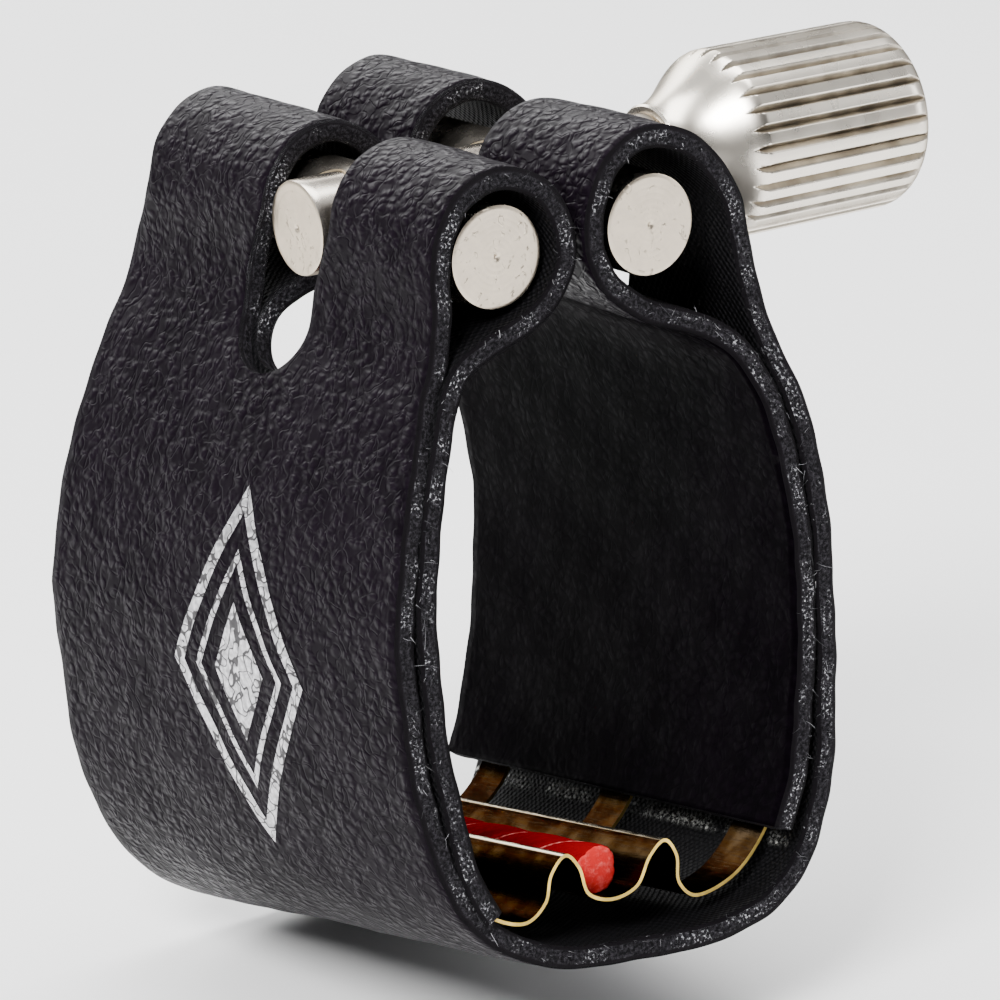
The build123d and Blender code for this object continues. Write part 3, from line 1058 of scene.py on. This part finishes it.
def plate_piece(name):
    line = catmull_rom(PLATE_LINE, PLATE_SPAN_STEPS)
    low, high = plate_low[1], plate_high[1]
    window = (high - low - 3 * FINGER) / 2
    stops = [low, low + FINGER, low + FINGER + window, high - FINGER - window, high - FINGER,
             high]
    rows = []
    for a, b in zip(stops, stops[1:]):
        if b > a + 1e-6:
            rows.extend(np.linspace(a, b, max(2, int((b - a) / PLATE_ROW_STEP)), endpoint=False))
    rows.append(high)
    rows = np.array(rows)
    points, uvs, faces = [], [], []
    length = arc_lengths(line)
    for y in rows:
        for (x, z), along in zip(line, length):
            points.append(plate_point(x, z, y))
            uvs.append((along, y))
    n = len(line)

    def open_here(x, y):
        near_window = low + FINGER < y < low + FINGER + window
        far_window = high - FINGER - window < y < high - FINGER
        return abs(x) > WINDOW_X and (near_window or far_window)

    for i in range(len(rows) - 1):
        for j in range(n - 1):
            x = (line[j][0] + line[j + 1][0]) / 2
            y = (rows[i] + rows[i + 1]) / 2
            if not open_here(x, y):
                a = i * n + j
                faces.append([a, a + 1, a + n + 1, a + n])
    obj = new_object(name, points, faces, uvs, None, (gilt, gilt_edge))
    thick = obj.modifiers.new("thickness", "SOLIDIFY")
    thick.thickness = SHEET * MM
    thick.offset = -1
    thick.use_even_offset = True
    thick.material_offset_rim = 1
    apply_modifiers(obj)
    finish_mesh(obj, 50)
    return obj


def apply_modifiers(obj):
    """Put the modifiers' result in the mesh and drop loose points."""
    evaluated = obj.evaluated_get(bpy.context.evaluated_depsgraph_get())
    mesh = bpy.data.meshes.new_from_object(evaluated)
    obj.modifiers.clear()
    obj.data = mesh
    bm = bmesh.new()
    bm.from_mesh(mesh)
    loose = [v for v in bm.verts if not v.link_faces]
    bmesh.ops.delete(bm, geom=loose, context="VERTS")
    bm.to_mesh(mesh)
    bm.free()


plate = plate_piece("gilt_contact_plate")


# Cord in the plate's channel
CORD_RADIUS = 1.28
CORD_LIFT = CHANNEL_FLOOR + CORD_RADIUS + 0.05


def cord_piece(name):
    """A three-strand twisted cord with a slightly domed cut end."""
    low, high = cord_low[1], cord_high[1]
    around, lay = 72, -12.0     # a strand turns once in 12 mm
    rows = np.linspace(low, high, 260)
    angles = np.linspace(0, 2 * pi, around, endpoint=False)
    points, uvs, faces, slots = [], [], [], []

    def ring(y, scale, sink=0.0):
        first = len(points)
        for a in angles:
            twist = a + 2 * pi * y / lay
            strand = 0.14 * abs(sin(CORD_STRANDS / 2 * twist)) ** 0.6 + 0.012 * sin(17 * twist)
            r = CORD_RADIUS * (0.89 + strand) * scale
            points.append(plate_point(r * cos(a), CORD_LIFT + r * sin(a), y + sink))
            uvs.append((a / (2 * pi), y))
        return first

    caps = [(0.02, -0.02), (0.3, -0.03), (0.6, -0.01), (0.86, 0.0), (0.96, 0.03)]
    firsts = [ring(low, scale, sink) for scale, sink in caps]
    firsts += [ring(y, 1.0) for y in rows[1:-1]]
    firsts += [ring(high, scale, -sink) for scale, sink in reversed(caps)]
    for k, (a, b) in enumerate(zip(firsts, firsts[1:])):
        cut = k < len(caps) - 1 or k >= len(firsts) - len(caps)
        for i in range(around):
            j = (i + 1) % around
            faces.append([a + i, a + j, b + j, b + i])
            slots.append(1 if cut else 0)
    for first in (firsts[0], firsts[-1]):
        faces.append([first + i for i in range(around)])
        slots.append(1)
    obj = new_object(name, points, faces, uvs, slots, (red_cord, red_end))
    finish_mesh(obj, 60)
    return obj


cord = cord_piece("red_twisted_cord")


# What moves with what
flex(strap_left)
flex(strap_right)
flex(emblem)
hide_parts("strap_left_arm", "strap_base")
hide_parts("strap_right_arm")

for piece, body, slot, nodes in (
        (left_rod, "left_barrel", "nickel_satin", ("left_rod",)),
        (left_boss, "left_barrel", "nickel_satin", ("left_outer_boss", "left_inner_boss")),
        (right_rod, "right_barrel", "nickel_satin", ("right_rod",)),
        (right_boss, "right_barrel", "nickel_satin", ("right_inner_boss", "right_outer_boss")),
        (knob, "thumb_screw", "nickel_satin", ("thumb_knob",)),
        (shank, "thumb_screw", "steel", ("screw_shank",)),
        (plate, "base", "gilt_brass", ("contact_plate",)),
        (cord, "base", "red_cord", ("cord_strip",))):
    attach(piece, body)
    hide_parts(*nodes)
for bead, body in beads:
    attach(bead, body)


# Floor, light and camera

def floor():
    """A plain pale floor, 0.4 mm below the strap."""
    mesh = bpy.data.meshes.new("studio_floor")
    size, gap = 6.0, 0.0004
    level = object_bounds()[0].z - gap
    mesh.from_pydata([(-size, -size, level), (size, -size, level), (size, size, level),
                      (-size, size, level)], [], [[0, 1, 2, 3]])
    obj = link("studio_floor", mesh)
    material, tree, shader = new_material("pale_floor", roughness=0.7, specular=0.1)
    paper = noise(tree, add(tree, "ShaderNodeTexCoord").outputs["Object"], 60.0, 3.0)
    tree.links.new(mix_colour(tree, paper, (0.93, 0.93, 0.93), (0.95, 0.95, 0.95)),
                   shader.inputs["Base Color"])
    mesh.materials.append(material)


def softbox(name, place, size, power, aim=(0, 0, 0)):
    light = bpy.data.lights.new(name, "AREA")
    light.shape = "RECTANGLE"
    light.size, light.size_y = size
    light.energy = power
    obj = link(name, light)
    obj.location = place
    obj.rotation_mode = "QUATERNION"
    obj.rotation_quaternion = (Vector(aim) - Vector(place)).to_track_quat("-Z", "Y")


floor()
softbox("key_softbox", (-0.36, -0.24, 0.40), (0.22, 0.22), 7.0)
softbox("top_softbox", (0.10, 0.08, 0.60), (0.50, 0.36), 5.0)
softbox("back_softbox", (0.05, 0.75, 0.40), (0.90, 0.40), 9.0, aim=(0, 0.25, 0))
softbox("right_softbox", (0.50, -0.35, 0.15), (0.14, 0.40), 0.9)

# A white studio behind and above, darker on the camera's side
world = bpy.data.worlds.new("studio")
bpy.context.scene.world = world
world.use_nodes = True
sky = world.node_tree
direction = add(sky, "ShaderNodeTexCoord").outputs["Generated"]
away = add(sky, "ShaderNodeVectorMath", {"operation": "DOT_PRODUCT"},
           {0: direction, 1: (0.52, 0.80, 0.45)}).outputs["Value"]
sky.links.new(mix_colour(sky, spread(sky, away, -0.35, 0.7), (0.06, 0.06, 0.065),
                         (0.75, 0.75, 0.76)), sky.nodes["Background"].inputs["Color"])
sky.nodes["Background"].inputs["Strength"].default_value = 1.0

# The camera looks down on the front left of the ligature, from 227 mm away
CAMERA_AZIMUTH, CAMERA_ELEVATION, CAMERA_ROLL = radians(-33.3), radians(16.9), radians(-3.03)
CAMERA_DISTANCE = 227.13
CAMERA_AIM = Vector((2.82, 0.0, 1.57))
CAMERA_LENS = 162.76


def camera():
    back = Vector((sin(CAMERA_AZIMUTH) * cos(CAMERA_ELEVATION),
                   -cos(CAMERA_AZIMUTH) * cos(CAMERA_ELEVATION), sin(CAMERA_ELEVATION)))
    right = Vector((0, 0, 1)).cross(back).normalized()
    up = back.cross(right)
    rolled_right = right * cos(CAMERA_ROLL) + up * sin(CAMERA_ROLL)
    rolled_up = up * cos(CAMERA_ROLL) - right * sin(CAMERA_ROLL)
    data = bpy.data.cameras.new("camera")
    data.lens = CAMERA_LENS
    data.sensor_width = 36
    data.clip_start, data.clip_end = 0.01, 20
    obj = link("camera", data)
    turn = Matrix((rolled_right, rolled_up, back)).transposed().to_4x4()
    obj.matrix_world = Matrix.Translation((CAMERA_AIM + back * CAMERA_DISTANCE) * MM) @ turn
    bpy.context.scene.camera = obj


camera()
